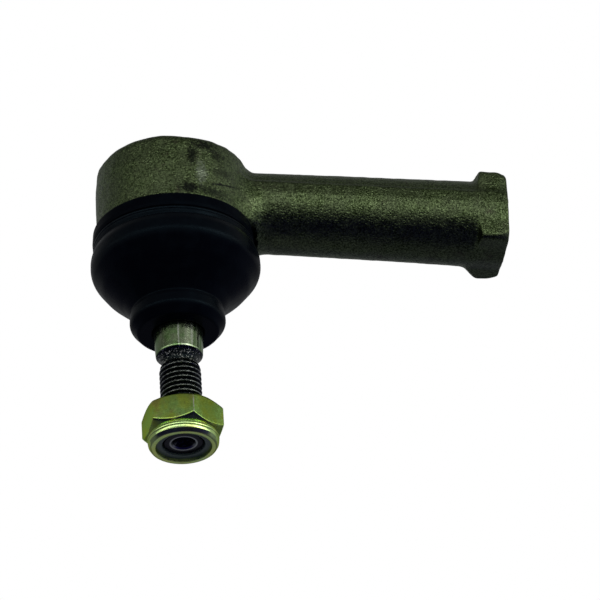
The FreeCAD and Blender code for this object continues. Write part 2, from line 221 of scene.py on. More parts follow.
HEAD_RADIUS = 18.5
HEAD_TOP = 9.98             # the crown of the head, before the forging's bumps
HEAD_BASE = 8.4             # depth of the face that the boot's collar sits against
CAD_TOP = CAD_BOX[1][2] / MM - 0.06     # no bump rises past the CAD's own top
NECK_RADIUS = 15.6          # the neck that the boot grips
NECK_BASE = 12.5
RELIEF_RADIUS = 19.5        # the shank's root is cut back to here for the boot's collar
BAND_TOP = 3.2              # the trimmed flash band runs from the shank's axis up to here
UPPER_DRAFT = math.tan(math.radians(2.4))
LOWER_DRAFT = math.tan(math.radians(0.4))
SHANK_RADIUS = 9.5          # at the head; it grows by SHANK_FLARE at the far end
SHANK_FLARE = 0.95
SHANK_SAG = 0.25            # the shank's underside dips this much where it meets the head
BLOCK_HALF = 9.85           # half the wrench block's width
BLOCK_START = 73.0          # where the block's back rises, from the head's axis
POCKET_RADIUS = 14.5        # the pocket that the end cap lies in
POCKET_FLOOR = 6.8
POCKET_TOP = 8.4
CRIMP_RADIUS = 12.8         # the lip that is folded over the end cap
CRIMP_HEIGHT = 9.3          # the lip's edge opens out above here
CUP_RADIUS = 13.0           # the room for the plastic seats
MOUTH_RADIUS = 9.8          # the opening that the stud passes through
BORE_RADIUS = 7.1           # room for the threaded sleeve
BORE_DEPTH = 44.0
ENTRY_RADIUS = 6.6          # the thread's mouth opens out from here
ENTRY_DEPTH = 1.3
# The skin's bumps: their height, how far apart they are, and where the noise is read.
SKIN = [(0.05, 2.3, 0.0), (0.035, 1.05, 31.7), (0.12, 9.0, 7.1)]


def smooth_min(a, b, blend):
    """The lesser of two distances, with a fillet about blend wide where they meet."""
    share = np.clip(0.5 + 0.5 * (b - a) / blend, 0, 1)
    return b * (1 - share) + a * share - blend * share * (1 - share)


def smooth_max(a, b, blend):
    """The greater of two distances, with their shared edge rounded."""
    return -smooth_min(-a, -b, blend)


def draft(height):
    """How much the forging's sides draw in above the flash band and below the axis."""
    above = np.maximum(height - BAND_TOP, 0) * UPPER_DRAFT
    return above + np.maximum(-height, 0) * LOWER_DRAFT


def head_solid(x, y, z):
    """The round head, with its top edge rounded."""
    reach = np.hypot(x, y) - (HEAD_RADIUS - draft(z))
    return smooth_max(reach, z - HEAD_TOP, 2.4)


def shank_solid(x, y, z):
    """The round shank with the flash band along its sides."""
    radius = SHANK_RADIUS + SHANK_FLARE * np.clip(x / SHANK_LENGTH, 0, 1)
    lowered = SHANK_SAG * np.clip(1 - x / 40.0, 0, 1)
    round_bar = np.hypot(y, z + lowered) - radius
    band = np.maximum(np.abs(y) - radius + 0.2, np.abs(z - BAND_TOP / 2) - BAND_TOP / 2)
    bar = smooth_min(round_bar, band, 0.6)
    return np.maximum(bar, -x)


def block_solid(x, y, z):
    """The wrench block. Its back is steep on the side towards -Y and sloping on the other."""
    half = BLOCK_HALF - draft(z) * 0.8
    side = smooth_max(np.abs(y) - half, np.abs(z) - 9.75, 1.5)
    across = np.hypot(y, z)
    share = eased((y + 2.0) / 8.0)
    start, slope = BLOCK_START - 1.35 * share, 3.2 - 2.3 * share
    back = (across - 10.3 - (x - start) * slope) / np.hypot(1, slope)
    face = (across - 12.35 - (SHANK_LENGTH - x) * 0.5) / np.hypot(1, 0.5)
    return smooth_max(smooth_max(side, back, 0.5), face, 0.5)


def forged_solid(p):
    """The whole forging before machining: head, shank and block with an uneven skin. The
    fillet between head and shank is widest underneath."""
    x, y, z = p[:, 0], p[:, 1], p[:, 2]
    root_fillet = 2.2 + 4.0 * np.clip(0.5 - z / 10.0, 0, 1)
    forged = smooth_min(head_solid(x, y, z), shank_solid(x, y, z), root_fillet)
    forged = smooth_min(forged, block_solid(x, y, z), 0.7)
    for height, cell, shift in SKIN:
        forged = forged + height * value_noise(p + shift, cell)
    forged = smooth_max(forged, z - CAD_TOP, 0.2)
    return smooth_max(forged, x - SHANK_LENGTH, 0.5)


def machined_cuts(p):
    """Everything that is turned or bored out of the forging, as one distance."""
    x, y, z = p[:, 0], p[:, 1], p[:, 2]
    reach, across = np.hypot(x, y), np.hypot(y, z)
    collar_seat = np.maximum.reduce([z + HEAD_BASE, NECK_RADIUS - reach, reach - RELIEF_RADIUS])
    below_neck = z + NECK_BASE
    mouth = np.maximum(reach - MOUTH_RADIUS, z + 8.0)
    cup_floor = -z - 8.4 - (CUP_RADIUS - reach) * 0.94
    cup = np.maximum.reduce([reach - CUP_RADIUS, cup_floor, -z - 12.6])
    pocket = np.maximum.reduce([reach - POCKET_RADIUS, POCKET_FLOOR - z, z - POCKET_TOP])
    crimp = np.maximum(reach - CRIMP_RADIUS - np.maximum(z - CRIMP_HEIGHT, 0) * 0.8, -z)
    bore = np.maximum(across - BORE_RADIUS, SHANK_LENGTH - BORE_DEPTH - x)
    flare = across - ENTRY_RADIUS - (x - SHANK_LENGTH + 1.2)
    entry = np.maximum(flare, SHANK_LENGTH - ENTRY_DEPTH - x)
    return np.minimum.reduce([collar_seat, below_neck, mouth, cup, pocket, crimp, bore, entry])


def housing_distance(p):
    """Distance from the finished housing's surface, less than 0 inside the metal."""
    return np.maximum(forged_solid(p), -machined_cuts(p))


def root_sector():
    """A sector of a ring under the shank's root, in metres as (points, faces). It carries
    the remeshed forging in to the boot's collar."""
    points = []
    angles = np.radians(np.linspace(-22.0, 22.0, 31))
    inside, outside, belly = RELIEF_RADIUS, 24.0, SHANK_RADIUS + 0.4
    for angle in angles:
        for radius, below in ((inside, 1), (outside, 1), (outside, 0), (inside, 0)):
            y = radius * math.sin(angle)
            height = -1.0 - below * math.sqrt(max(belly**2 - y**2, 0.01))
            points.append((HEAD_X + radius * math.cos(angle), y, height))
    faces = [(0, 1, 2, 3), tuple(len(points) - k for k in (1, 2, 3, 4))]
    for i in range(len(angles) - 1):
        for k in range(4):
            a, b = 4 * i + k, 4 * i + (k + 1) % 4
            faces.append((b, a, a + 4, b + 4))
    return (np.array(points) * MM).tolist(), faces


VOXEL = 0.42                # the remeshed forging's grid
PASSES = 6                  # times that its points are drawn towards the surface
LONGEST_MOVE = 0.6          # how far a point may go in one pass
PROBE = 0.02                # half the distance over which the surface's slope is taken


def surface_slope(points):
    """How the distance from the housing grows along each axis at each point."""
    return np.stack([
        (housing_distance(points + PROBE * axis) - housing_distance(points - PROBE * axis))
        / (2 * PROBE) for axis in np.eye(3)
    ], -1)


def remeshed_housing():
    """The CAD's housing with the root sector joined to it, as an even mesh of points in
    millimetres and faces."""
    source = frame["nodes"]["housing"]
    temporary = source.copy()
    temporary.data = source.data.copy()
    shape = bmesh.new()
    shape.from_mesh(source.data)
    points, faces = root_sector()
    corners = [shape.verts.new(point) for point in points]
    for face in faces:
        shape.faces.new([corners[k] for k in face])
    shape.to_mesh(temporary.data)
    shape.free()
    temporary.parent = None
    temporary.hide_render = temporary.hide_viewport = False
    bpy.context.scene.collection.objects.link(temporary)
    remesh = temporary.modifiers.new("even", "REMESH")
    remesh.mode = "VOXEL"
    remesh.voxel_size = VOXEL * MM
    bpy.context.view_layer.update()
    evaluated = temporary.evaluated_get(bpy.context.evaluated_depsgraph_get())
    mesh = evaluated.to_mesh()
    points = np.array([v.co for v in mesh.vertices]) / MM - np.array([HEAD_X, 0, 0])
    faces = [tuple(f.vertices) for f in mesh.polygons]
    evaluated.to_mesh_clear()
    bpy.data.objects.remove(temporary)
    return points, faces


def housing_piece():
    """The forging: the CAD solid remeshed evenly, then drawn onto the forged surface."""
    points, faces = remeshed_housing()
    for _ in range(PASSES):
        distance, slope = housing_distance(points), surface_slope(points)
        steepness = np.maximum((slope**2).sum(1), 0.25)
        move = slope * (distance / steepness)[:, None]
        size = np.linalg.norm(move, axis=1, keepdims=True)
        points = points - move * np.minimum(1, LONGEST_MOVE / np.maximum(size, 1e-9))
    return mesh_piece("housing_forging", points, faces, "housing", ["housing"], 50.0)


# ------------------------------------------------------------------ turned pieces


def end_cap_piece():
    """The pressed disc in the head's top, with a raised middle."""
    outline = rounded([
        (0.0, 7.55), (6.2, 7.55, 1.2), (7.0, 6.9, 1.2), (14.4, 6.9, 0.2), (14.4, 8.3, 0.3),
        (7.8, 8.3, 1.2), (6.9, 8.95, 1.2), (0.0, 8.95),
    ])
    inner = outline[outline[:, 0] > 0.35]
    return turned_piece("end_cap_disc", inner, "housing", closed=False, replaced=["end_cap"])


SEAM_HEIGHT = -21.8         # where the boot's two parts meet
BULGE_SHIFT = 0.35          # the free rubber between its rings sits this far off centre


def boot_outline():
    """The boot's section: down its outside from the collar's top edge to the lip's lower
    face, and back up its inside."""
    corners = [
        (15.7, -8.55), (18.7, -8.55, 0.1), (18.7, -7.75, 0.15), (19.3, -7.8, 0.35),
        (19.45, -10.3, 0.4), (19.3, -11.1, 0.15), (18.9, -11.3, 0.1), (18.9, -11.5, 0.1),
        (19.4, -11.6, 0.1), (19.33, -12.05, 0.1), (19.2, -12.1, 0.05), (19.2, -12.25, 0.05),
        (19.3, -12.3, 0.1), (19.16, -13.0, 0.2), (19.1, -13.3, 0.2), (19.7, -13.9, 0.5),
        (20.3, -15.4, 4.0), (20.4, -18.6, 6.0), (17.45, -22.6, 9.0),
        (12.8, -27.0, 8.0), (10.8, -29.3, 0.5), (11.35, -30.4, 0.6),
        (11.5, -33.0, 2.2), (9.6, -35.35, 0.9), (6.1, -35.35, 0.5), (6.3, -33.2),
        (6.35, -30.8, 0.4), (9.0, -29.0, 1.0), (11.5, -26.0, 4.0), (15.8, -21.8, 6.0),
        (18.7, -18.2, 5.0), (18.6, -15.2, 4.0), (17.2, -13.2, 1.0), (15.7, -12.6, 0.4),
    ]
    return rounded(corners, step=0.18, longest=0.32)


def boot_pieces():
    """The boot in two parts that meet at the seam height. The rubber takes up the stud's lean
    little by little, and what is free between its rings swells to one side."""
    outline = boot_outline()[::-1]
    above = outline[:, 1] > SEAM_HEIGHT
    start = int(np.flatnonzero(above & ~np.roll(above, 1))[0])
    outline, above = np.roll(outline, -start, axis=0), np.roll(above, -start)
    count = int(above.sum())

    def seam_between(a, b):
        share = (SEAM_HEIGHT - a[1]) / (b[1] - a[1])
        return a + (b - a) * share

    first = seam_between(outline[-1], outline[0])
    second = seam_between(outline[count - 1], outline[count])
    upper = np.vstack([first, outline[:count], second])
    lower = np.vstack([second, outline[count:], first])
    pieces = []
    segments = 220
    for name, rows in (("boot_upper", upper), ("boot_lower", lower)):
        points = spin(rows, segments)
        points = hung(points, eased((-12.0 - points[:, 2]) / 17.0))
        below_top, above_cone = -11.5 - points[:, 2], 26.0 + points[:, 2]
        swell = np.clip(below_top / 2.5, 0, 1) * np.clip(above_cone / 7, 0, 1)
        points[:, 0] += BULGE_SHIFT * swell
        pieces.append(mesh_piece(name, points, grid_faces(len(rows), segments, False), None))
    top, bottom = pieces
    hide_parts("dust_boot")
    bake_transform(top)
    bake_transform(bottom)
    return pieces


def thread_depth(height, angle, pitch):
    """1 on the thread's crests and 0 in its roots, for a right-hand thread with narrow
    roots, straight flanks and rounded crests."""
    phase = (height / pitch - angle / (2 * math.pi)) % 1.0
    ramp = 1 - np.abs(2 * phase - 1)
    rise = np.clip((ramp - 0.14) / 0.8, 0, 1)
    return np.where(rise > 0.7, 1 - (1 - rise) ** 2 / 0.6, rise / 0.7 * 0.85)


STUD_PITCH = 1.25
THREAD_START = -45.2
STUD_END = -65.4
ROOT_RADIUS = 4.24          # the stud thread's root, its crest being THREAD_HEIGHT further out
THREAD_HEIGHT = 0.74
TIP_RADIUS = 4.5            # of the chamfer at the stud's end
BALL_RADIUS = 9.5


def stud_piece():
    """The ball stud: ball, neck, ground taper, undercut and rolled thread."""
    ball = [
        (BALL_RADIUS * math.sin(turn), BALL_HEIGHT + BALL_RADIUS * math.cos(turn))
        for turn in np.radians(np.arange(22, 149, 2.5))
    ]
    neck = rounded([
        (0, -13.5), (4.9, -13.5), (4.9, -16.0, 2.0), (6.7, -20.8, 2.0), (5.64, -41.35, 0.1),
        (5.58, -41.72, 0.1), (4.95, -42.2, 0.3), (4.3, -43.6, 0.6), (4.28, -44.6, 0.2),
        (4.9, -45.2), (0, -45.3),
    ], step=0.06, longest=0.3)
    neck = neck[neck[:, 0] > 4.0]
    neck = neck[np.argsort(-neck[:, 1], kind="stable")]
    neck = neck[(neck[:, 1] < -13.6) & (neck[:, 1] > THREAD_START)]
    thread = [(5.0, height) for height in np.arange(THREAD_START, STUD_END + 0.01, -0.07)]
    tip = [
        (4.45, STUD_END), (3.6, STUD_END - 0.02), (2.95, STUD_END), (2.8, STUD_END + 0.12),
        (2.0, STUD_END + 1.5), (1.0, STUD_END + 2.8), (0.2, STUD_END + 3.2),
    ]
    rows = np.array([(0.3, 3.4), (3.4, 3.4)] + ball + neck.tolist() + thread + tip)

    def cut_thread(radius, height, angle):
        inside = (height <= THREAD_START) & (height >= STUD_END) & (radius > TIP_RADIUS)
        wave = thread_depth(height, angle, STUD_PITCH)
        run_in = np.clip(0.35 + THREAD_START - height, 0, 1)
        threaded = ROOT_RADIUS + THREAD_HEIGHT * run_in * wave
        chamfer = TIP_RADIUS + (height - STUD_END) * 0.9
        return np.where(inside, np.minimum(threaded, chamfer), radius), height

    return turned_piece("ball_stud_turned", rows, "stud", segments=160, closed=False,
                        shape=cut_thread, lean=1.0, replaced=["ball_stud"], smooth_angle=35.0)


NUT_TOP = -56.7
NUT_BASE = -66.69
NUT_TURN = math.radians(38.0)       # one corner's angle round the stud
HALF_FLATS = 17.0 / 2 + 0.1         # the flats stand a little proud of the nominal size
HEXAGON_START = 8.55                # only what is wider than this is cut to a hexagon


def nut_piece():
    """The hexagon with both ends turned to cones, and the collar curled over the insert."""
    outer = rounded([
        (6.0, NUT_TOP, 0.1), (8.4, NUT_TOP, 0.3), (10.5, NUT_TOP - 1.3, 0.1),
        (10.4, -62.2, 0.1), (8.5, -63.5, 0.1), (8.1, -63.75, 0.15), (8.1, -64.2, 0.15),
        (8.5, -64.35, 0.1), (8.43, -64.8, 0.1), (8.3, -64.9, 0.08), (8.44, -65.05, 0.1),
        (8.32, -65.75, 0.4), (7.75, NUT_BASE, 0.7), (6.6, NUT_BASE + 0.03, 0.2),
        (6.5, -65.8), (6.9, -65.8), (6.95, -63.3), (5.06, -63.2), (5.06, NUT_TOP - 0.9, 0.1),
    ], step=0.07, longest=0.3)[::-1]

    def hexagon(radius, height, angle):
        around = (angle - NUT_TURN) % (math.pi / 3) - math.pi / 6
        corner = HALF_FLATS / math.cos(math.pi / 6)
        sharpness = 30
        flat = -np.logaddexp(-HALF_FLATS / np.cos(around) * sharpness, -corner * sharpness)
        flat = np.maximum(flat / sharpness + 0.06, 8.5)
        return np.where(radius > HEXAGON_START, smooth_min(radius, flat, 0.5), radius), height

    return turned_piece("lock_nut_hex", outer, "nut", segments=432, shape=hexagon,
                        lean=1.0, replaced=["lock_nut"], smooth_angle=24.0)


def insert_piece():
    """The nylon ring that shows inside the curled collar."""
    rows = rounded([
        (5.08, -63.35), (5.08, -65.4, 0.1), (5.04, -65.5, 0.1), (5.04, -65.7, 0.1),
        (5.2, -65.85, 0.2), (6.85, -65.8, 0.1), (6.85, -63.35, 0.1),
    ], step=0.06, longest=0.3)
    return turned_piece("nylon_insert_ring", rows, "nut_run", lean=1.0,
                        replaced=["nylon_insert"])


def bore_thread_piece():
    """The rod thread inside the shank, as a threaded sleeve that lines its bore."""
    pitch, start, length, step, segments = 1.5, 1.0, 42.5, 0.125, 128
    root, thread_height, sleeve_radius = 7.02, 0.82, 7.3
    depths = np.arange(start, start + length, step)
    angles = np.linspace(0, 2 * math.pi, segments, endpoint=False)
    depth, turn = np.meshgrid(depths, angles, indexing="ij")
    threaded = root - thread_height * thread_depth(depth, turn, pitch)
    threaded = np.maximum(threaded, 7.05 - (depth - start) * 1.2)

    def wall(radius):
        across = [SHANK_LENGTH - depth, radius * np.cos(turn), radius * np.sin(turn)]
        return np.stack(across, -1).reshape(-1, 3)

    count = len(depths)
    inner = grid_faces(count, segments, False)
    shift = count * segments
    outer = [tuple(shift + corner for corner in reversed(face)) for face in inner]
    last = shift - segments
    ends = []
    for j in range(segments):
        k = (j + 1) % segments
        ends.append((j, shift + j, shift + k, k))
        ends.append((last + j, last + k, shift + last + k, shift + last + j))
    points = np.vstack([wall(threaded), wall(sleeve_radius)])
    return mesh_piece("rod_thread", points, inner + outer + ends, "housing", (), 35.0)


# ------------------------------------------------------------------ materials


class Graph:
    """Short calls for the nodes that the finishes and the surroundings both need."""

    def __init__(self, tree):
        self.nodes, self.links = tree.nodes, tree.links

    def put(self, socket, value):
        """Sets a socket to a number or colour, or links it."""
        if isinstance(value, bpy.types.NodeSocket):
            self.links.new(value, socket)
        elif isinstance(value, tuple):
            socket.default_value = (*value, 1.0) if len(value) == 3 else value
        else:
            socket.default_value = value

    def ramp(self, value, low, high, from_value=0.0, to_value=1.0):
        """A smooth change from from_value to to_value as value goes from low to high."""
        node = self.nodes.new("ShaderNodeMapRange")
        node.interpolation_type = "SMOOTHSTEP"
        self.put(node.inputs["Value"], value)
        for key, number in (("From Min", low), ("From Max", high),
                            ("To Min", from_value), ("To Max", to_value)):
            node.inputs[key].default_value = number
        return node.outputs["Result"]

    def sums(self, operation, a, b=0.0, c=0.0):
        """What a Math node makes of up to three numbers or sockets."""
        node = self.nodes.new("ShaderNodeMath")
        node.operation = operation
        for socket, value in zip(node.inputs, (a, b, c)):
            self.put(socket, value)
        return node.outputs[0]

    def times(self, a, b):
        """The product of two numbers or sockets."""
        return self.sums("MULTIPLY", a, b)

    def vector(self, operation, a, b=(0, 0, 0)):
        """What a Vector Math node makes of a socket and a fixed vector."""
        node = self.nodes.new("ShaderNodeVectorMath")
        node.operation = operation
        self.links.new(a, node.inputs[0])
        node.inputs[1].default_value = b
        return node.outputs["Value" if operation in ("LENGTH", "DOT_PRODUCT") else "Vector"]


class Paint(Graph):
    """A node material with short calls for the parts that every finish here needs."""

    def __init__(self, name):
        self.material = bpy.data.materials.new(name)
        self.material.use_nodes = True
        super().__init__(self.material.node_tree)
        self.shader = next(n for n in self.nodes if n.type == "BSDF_PRINCIPLED")
        place = self.nodes.new("ShaderNodeTexCoord")
        scale = self.nodes.new("ShaderNodeMapping")
        scale.inputs["Scale"].default_value = (1 / MM,) * 3
        self.links.new(place.outputs["Object"], scale.inputs["Vector"])
        self.millimetres = scale.outputs["Vector"]

    def noise(self, size, detail=3.0, roughness=0.55, stretch=None):
        """Noise whose features are about size millimetres across."""
        node = self.nodes.new("ShaderNodeTexNoise")
        node.inputs["Scale"].default_value = 1.0 / size
        node.inputs["Detail"].default_value = detail
        node.inputs["Roughness"].default_value = roughness
        vector = self.millimetres
        if stretch:
            mapping = self.nodes.new("ShaderNodeMapping")
            mapping.inputs["Scale"].default_value = stretch
            self.links.new(vector, mapping.inputs["Vector"])
            vector = mapping.outputs["Vector"]
        self.links.new(vector, node.inputs["Vector"])
        return node.outputs["Fac"]

    def grains(self, size):
        """Round cells, for pits and shot marks: 0 at each cell's middle."""
        node = self.nodes.new("ShaderNodeTexVoronoi")
        node.inputs["Scale"].default_value = 1.0 / size
        self.links.new(self.millimetres, node.inputs["Vector"])
        return node.outputs["Distance"]

    def mix(self, share, a, b):
        """Colour a where share is 0 and colour b where it is 1."""
        node = self.nodes.new("ShaderNodeMix")
        node.data_type = "RGBA"
        self.put(node.inputs["Factor"], share)
        colours = [s for s in node.inputs if s.type == "RGBA"]
        self.put(colours[0], a)
        self.put(colours[1], b)
        return next(s for s in node.outputs if s.type == "RGBA")

    def stain(self, colour, share, tint, strength=1.0):
        """The colour with a tint laid over it where share is near 1."""
        return self.mix(self.times(share, strength), colour, tint)

    def turned(self, place, axis, angle):
        """A place turned about one axis."""
        node = self.nodes.new("ShaderNodeVectorRotate")
        node.rotation_type = axis
        node.inputs["Angle"].default_value = angle
        self.links.new(place, node.inputs["Vector"])
        return node.outputs["Vector"]

    def upright(self):
        """Place in millimetres from the ball's centre, along the stud's own axis."""
        place = self.vector("SUBTRACT", self.millimetres, (HEAD_X, 0, BALL_HEIGHT))
        return self.turned(place, "Y_AXIS", -LEAN)

    def height(self):
        """Height above the shank's axis along the stud, in millimetres."""
        above_ball = self.vector("DOT_PRODUCT", self.upright(), (0, 0, 1))
        return self.sums("ADD", above_ball, BALL_HEIGHT)

    def level(self):
        """Height above the shank's axis, square to the shank, in millimetres."""
        return self.vector("DOT_PRODUCT", self.millimetres, (0, 0, 1))

    def reach(self):
        """Distance from the stud's axis, in millimetres."""
        return self.vector("LENGTH", self.vector("MULTIPLY", self.upright(), (1, 1, 0)))

    def patch(self, angle, height, half_width, half_height, tilt=0.0, stud_radius=None):
        """A ragged blot at an angle in degrees round the head's axis and a height: 1 in
        its middle and 0 outside. It is on the head, or on a stud of the radius given."""
        turn = math.radians(angle)
        if stud_radius is None:
            start, foot, radius = self.millimetres, (HEAD_X, height), HEAD_RADIUS
        else:
            start, foot, radius = self.upright(), (0.0, height - BALL_HEIGHT), stud_radius
        centre = (foot[0] + radius * math.cos(turn), radius * math.sin(turn), foot[1])
        place = self.vector("SUBTRACT", start, centre)
        place = self.turned(place, "Z_AXIS", -turn)
        place = self.turned(place, "X_AXIS", -math.radians(tilt))
        place = self.vector("MULTIPLY", place, (0, 1 / half_width, 1 / half_height))
        ragged = self.sums("MULTIPLY_ADD", self.noise(0.55, 4.0, 0.7), 3.4, -1.7)
        reach = self.sums("ADD", self.vector("LENGTH", place), ragged)
        return self.ramp(reach, 1.15, 0.45)

    def bump(self, height, distance_mm, strength=1.0):
        """Relief from a height of 0 to 1, this many millimetres deep at full strength."""
        node = self.nodes.new("ShaderNodeBump")
        node.inputs["Strength"].default_value = strength
        node.inputs["Distance"].default_value = distance_mm * MM
        self.put(node.inputs["Height"], height)
        self.links.new(node.outputs["Normal"], self.shader.inputs["Normal"])

    def finish(self, colour, roughness, metallic=0.0, **sockets):
        """Sets the shader's main sockets and any others by name, and gives the material."""
        self.put(self.shader.inputs["Base Color"], colour)
        self.put(self.shader.inputs["Roughness"], roughness)
        self.put(self.shader.inputs["Metallic"], metallic)
        for key, value in sockets.items():
            self.put(self.shader.inputs[key.replace("_", " ")], value)
        return self.material


# Grease and handling marks on the head, each as (angle, height, half width, half
# height and tilt), colour and how strongly it covers.
GREASE, RUBBED = (0.010, 0.011, 0.012), (0.26, 0.31, 0.22)
FORGING_MARKS = [
    ((-82, 4.2, 1.3, 3.4), GREASE, 0.8),
    ((-72, 7.3, 3.0, 1.5), GREASE, 0.85),
    ((-62, 5.4, 2.4, 1.6), GREASE, 0.7),
    ((-75, -1.0, 1.5, 3.4), RUBBED, 0.9),
    ((-85, -5.6, 2.6, 1.6), GREASE, 0.9),
    ((-66, -5.6, 5.4, 1.5), GREASE, 0.75),
    ((-55, -2.5, 5.6, 0.32, 14.0), GREASE, 0.95),
    ((-58, 0.6, 3.4, 1.8), GREASE, 0.55),
]


def forged_steel():
    """A shot-blasted, oiled skin: light and dark grains with grease and wear on the head."""
    paint = Paint("forged_steel")
    speckle = paint.ramp(paint.noise(0.42, 2.0, 0.6), 0.36, 0.64)
    tone = paint.ramp(paint.noise(6.0, 4.0), 0.35, 0.65)
    colour = paint.mix(speckle, (0.034, 0.054, 0.016), (0.202, 0.272, 0.124))
    colour = paint.stain(colour, tone, (0.120, 0.140, 0.088), 0.35)
    for place, tint, share in FORGING_MARKS:
        colour = paint.stain(colour, paint.patch(*place), tint, share)
    rust = paint.ramp(paint.noise(3.2, 3.0, 0.6), 0.62, 0.72)
    colour = paint.stain(colour, rust, (0.075, 0.062, 0.048), 0.45)
    pits = paint.ramp(paint.grains(0.55), 0.0, 0.6)
    relief = paint.sums("ADD", pits, paint.noise(0.3, 4.0, 0.65))
    paint.bump(relief, 0.056, 1.0)
    roughness = paint.ramp(paint.noise(1.5, 3.0), 0.3, 0.7, 0.26, 0.38)
    return paint.finish(colour, roughness, 1.0)


def boot_rubber():
    """Specular level painted by height: low on the collar's upper wall as painted shade under the
    head, and higher on the ridge below it as a painted highlight.
    """
    paint = Paint("boot_rubber")
    bloom = paint.ramp(paint.noise(4.0, 4.0), 0.45, 0.7)
    colour = paint.mix(bloom, (0.0030, 0.0042, 0.0075), (0.0045, 0.0070, 0.011))
    relief = paint.sums("ADD", paint.noise(0.5, 3.0), paint.noise(3.0, 2.0))
    paint.bump(relief, 0.03, 0.5)
    roughness = paint.ramp(paint.noise(2.5, 3.0), 0.3, 0.7, 0.24, 0.34)
    # The specular level is painted: painted shade on the collar's upper wall, a painted highlight
    # on the ridge.
    level = paint.level()
    ridge = paint.times(paint.ramp(level, -11.1, -11.3), paint.ramp(level, -12.6, -12.2))
    painted_shine = paint.ramp(level, -10.9, -11.2, 0.018, 0.075)
    painted_shine = paint.sums("MULTIPLY_ADD", ridge, 0.06, painted_shine)
    return paint.finish(colour, roughness, 0.0, Specular_IOR_Level=painted_shine,
                        Specular_Tint=(0.45, 0.80, 1.0))


def ground_steel():
    """Bright on the taper with fine upright streaks and three painted highlight streaks, and dark
    below it in the thread's roots as painted shade, with crests lit as painted highlights."""
    paint = Paint("ground_steel")
    streak = paint.ramp(paint.noise(1.5, 2.0, 0.6, stretch=(1.0, 1.0, 0.04)), 0.48, 0.68)
    blotch = paint.ramp(paint.noise(2.2, 3.0), 0.3, 0.7)
    ground = paint.mix(streak, (0.17, 0.31, 0.11), (0.55, 0.68, 0.44))
    ground = paint.stain(ground, blotch, (0.36, 0.33, 0.28), 0.4)
    # Three narrow upright painted highlights on the taper, standing in for lamp reflections.
    for angle, half_width in ((-98, 0.22), (-65, 0.36), (-41, 0.15)):
        painted_shine = paint.patch(angle, -37.0, half_width, 7.0, stud_radius=5.9)
        ground = paint.stain(ground, painted_shine, (0.92, 0.97, 0.86), 0.55)
    spots = paint.ramp(paint.noise(0.7, 3.0, 0.6), 0.66, 0.72)
    ground = paint.stain(ground, spots, (0.05, 0.045, 0.03), 0.8)
    colour = paint.mix(paint.ramp(paint.height(), -41.85, -41.75), rolled(paint), ground)
    rough = paint.ramp(paint.height(), -46.0, -44.8)
    rough = paint.times(rough, paint.ramp(paint.height(), -41.9, -42.1))
    rough = paint.sums("MULTIPLY_ADD", rough, 0.9, 0.1)
    paint.bump(paint.times(paint.noise(0.4, 3.0, 0.6), rough), 0.14, 0.8)
    roughness = paint.ramp(paint.noise(0.8, 3.0), 0.3, 0.7, 0.14, 0.26)
    return paint.finish(colour, roughness, 1.0)


def rolled(paint):
    """The colour of the undercut, the thread and the stud's end: painted shade in the thread's
    roots and on the stud's end, painted highlights on the crests and the centre drill's rim, and
    painted glints in the undercut.
    """
    # Crests lighter as painted highlights, roots darker as painted shade.
    crest = paint.ramp(paint.reach(), 4.80, 4.96)
    crest = paint.times(crest, paint.ramp(paint.height(), -44.9, -45.2))
    crest = paint.times(crest, paint.ramp(paint.noise(0.9, 3.0), 0.36, 0.62, 0.3, 1.0))
    # White specks in the undercut, painted glints.
    painted_glints = paint.ramp(paint.noise(0.45, 2.0, 0.6), 0.57, 0.62)
    painted_glints = paint.times(painted_glints, paint.ramp(paint.height(), -46.0, -45.0, 0.25, 1.0))
    colour = paint.mix(crest, (0.016, 0.022, 0.024), (0.42, 0.46, 0.40))
    colour = paint.stain(colour, painted_glints, (0.85, 0.88, 0.80), 0.6)
    # The stud's end darkened as painted shade in the nut's recess, with a lighter ring at the
    # centre drill's rim as a painted highlight.
    end = paint.ramp(paint.height(), STUD_END + 0.75, STUD_END + 0.45)
    lip = paint.times(paint.ramp(paint.reach(), 2.55, 2.75), paint.ramp(paint.reach(), 3.45, 3.2))
    return paint.mix(end, colour, paint.mix(lip, (0.012, 0.014, 0.020), (0.32, 0.35, 0.33)))


